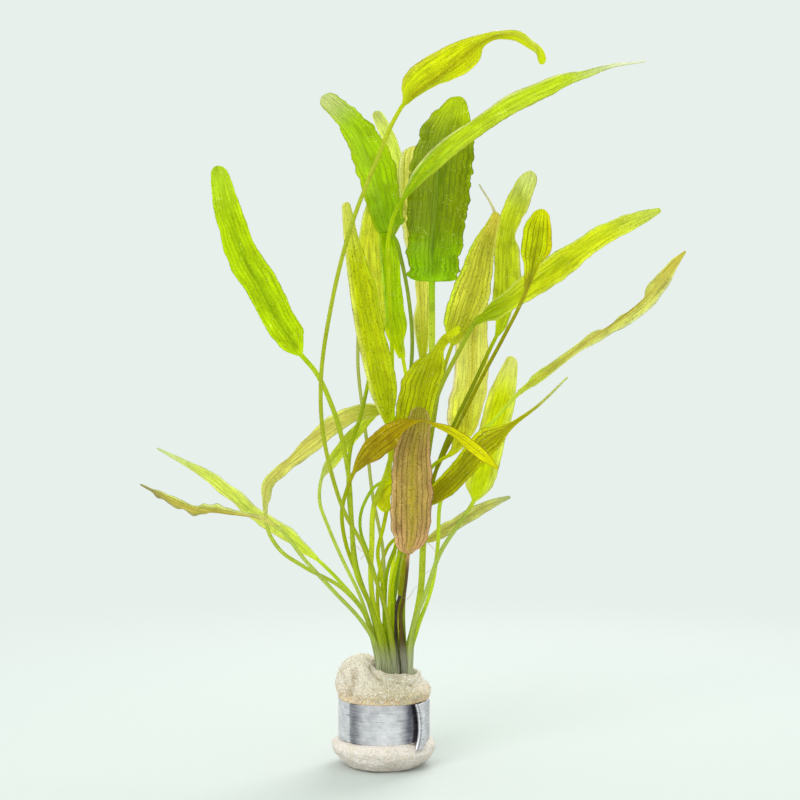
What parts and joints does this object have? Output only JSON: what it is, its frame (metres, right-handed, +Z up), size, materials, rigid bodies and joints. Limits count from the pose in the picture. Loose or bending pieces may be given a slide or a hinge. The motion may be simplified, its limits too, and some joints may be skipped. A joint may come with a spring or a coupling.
{
  "type": "potted aquarium plant bunch",
  "caption": "Bunch of long-stalked strap-shaped leaves, held in a round foam plug with a soft metal weight strip wound round it; it stands on the plug's flat foot.",
  "frame": {"origin": "centre of the foam plug's flat foot, on the surface it stands on", "axes": "+Z up through the bunch, -Y towards the viewer of the picture, +X to the viewer's right"},
  "size_m": [0.195, 0.102, 0.2571],
  "materials": {
    "foam": "open-cell foam, matt",
    "weight_metal": "soft rolled metal, brushed",
    "dead_stalk": "dead plant tissue, matt",
    "fresh_leaf": "leaf, satin",
    "lime_leaf": "leaf, satin",
    "yellow_leaf": "leaf, satin",
    "olive_leaf": "leaf, satin",
    "dark_leaf": "leaf, satin",
    "pale_leaf": "leaf, satin",
    "bronze_leaf": "leaf, satin"
  },
  "bodies": {
    "root": {"foam_plug": "foam", "weight_band": "weight_metal", "dead_stalk": "dead_stalk", "leaf_far_left": "lime_leaf", "leaf_top_arch": "lime_leaf", "leaf_top_left": "fresh_leaf", "leaf_long_right": "lime_leaf", "leaf_broad": "dark_leaf", "leaf_pale_back": "pale_leaf", "leaf_brown_back": "bronze_leaf", "leaf_mid_left": "olive_leaf", "leaf_olive_back": "pale_leaf", "leaf_green_back": "fresh_leaf", "leaf_front_brown": "bronze_leaf", "leaf_twisted": "olive_leaf", "leaf_middle": "olive_leaf", "leaf_tall_right": "pale_leaf", "leaf_upper_right": "pale_leaf", "leaf_thin_tip": "pale_leaf", "leaf_small_yellow": "yellow_leaf", "leaf_bright_right": "lime_leaf", "leaf_red_tip": "pale_leaf", "leaf_dark_right": "olive_leaf", "leaf_light_right": "pale_leaf", "leaf_low_right": "olive_leaf", "leaf_low_left": "lime_leaf", "leaf_ruffled_left": "bronze_leaf", "leaf_bent_left": "pale_leaf", "leaf_small_left": "fresh_leaf", "leaf_curled": "yellow_leaf"}
  },
  "joints": []
}
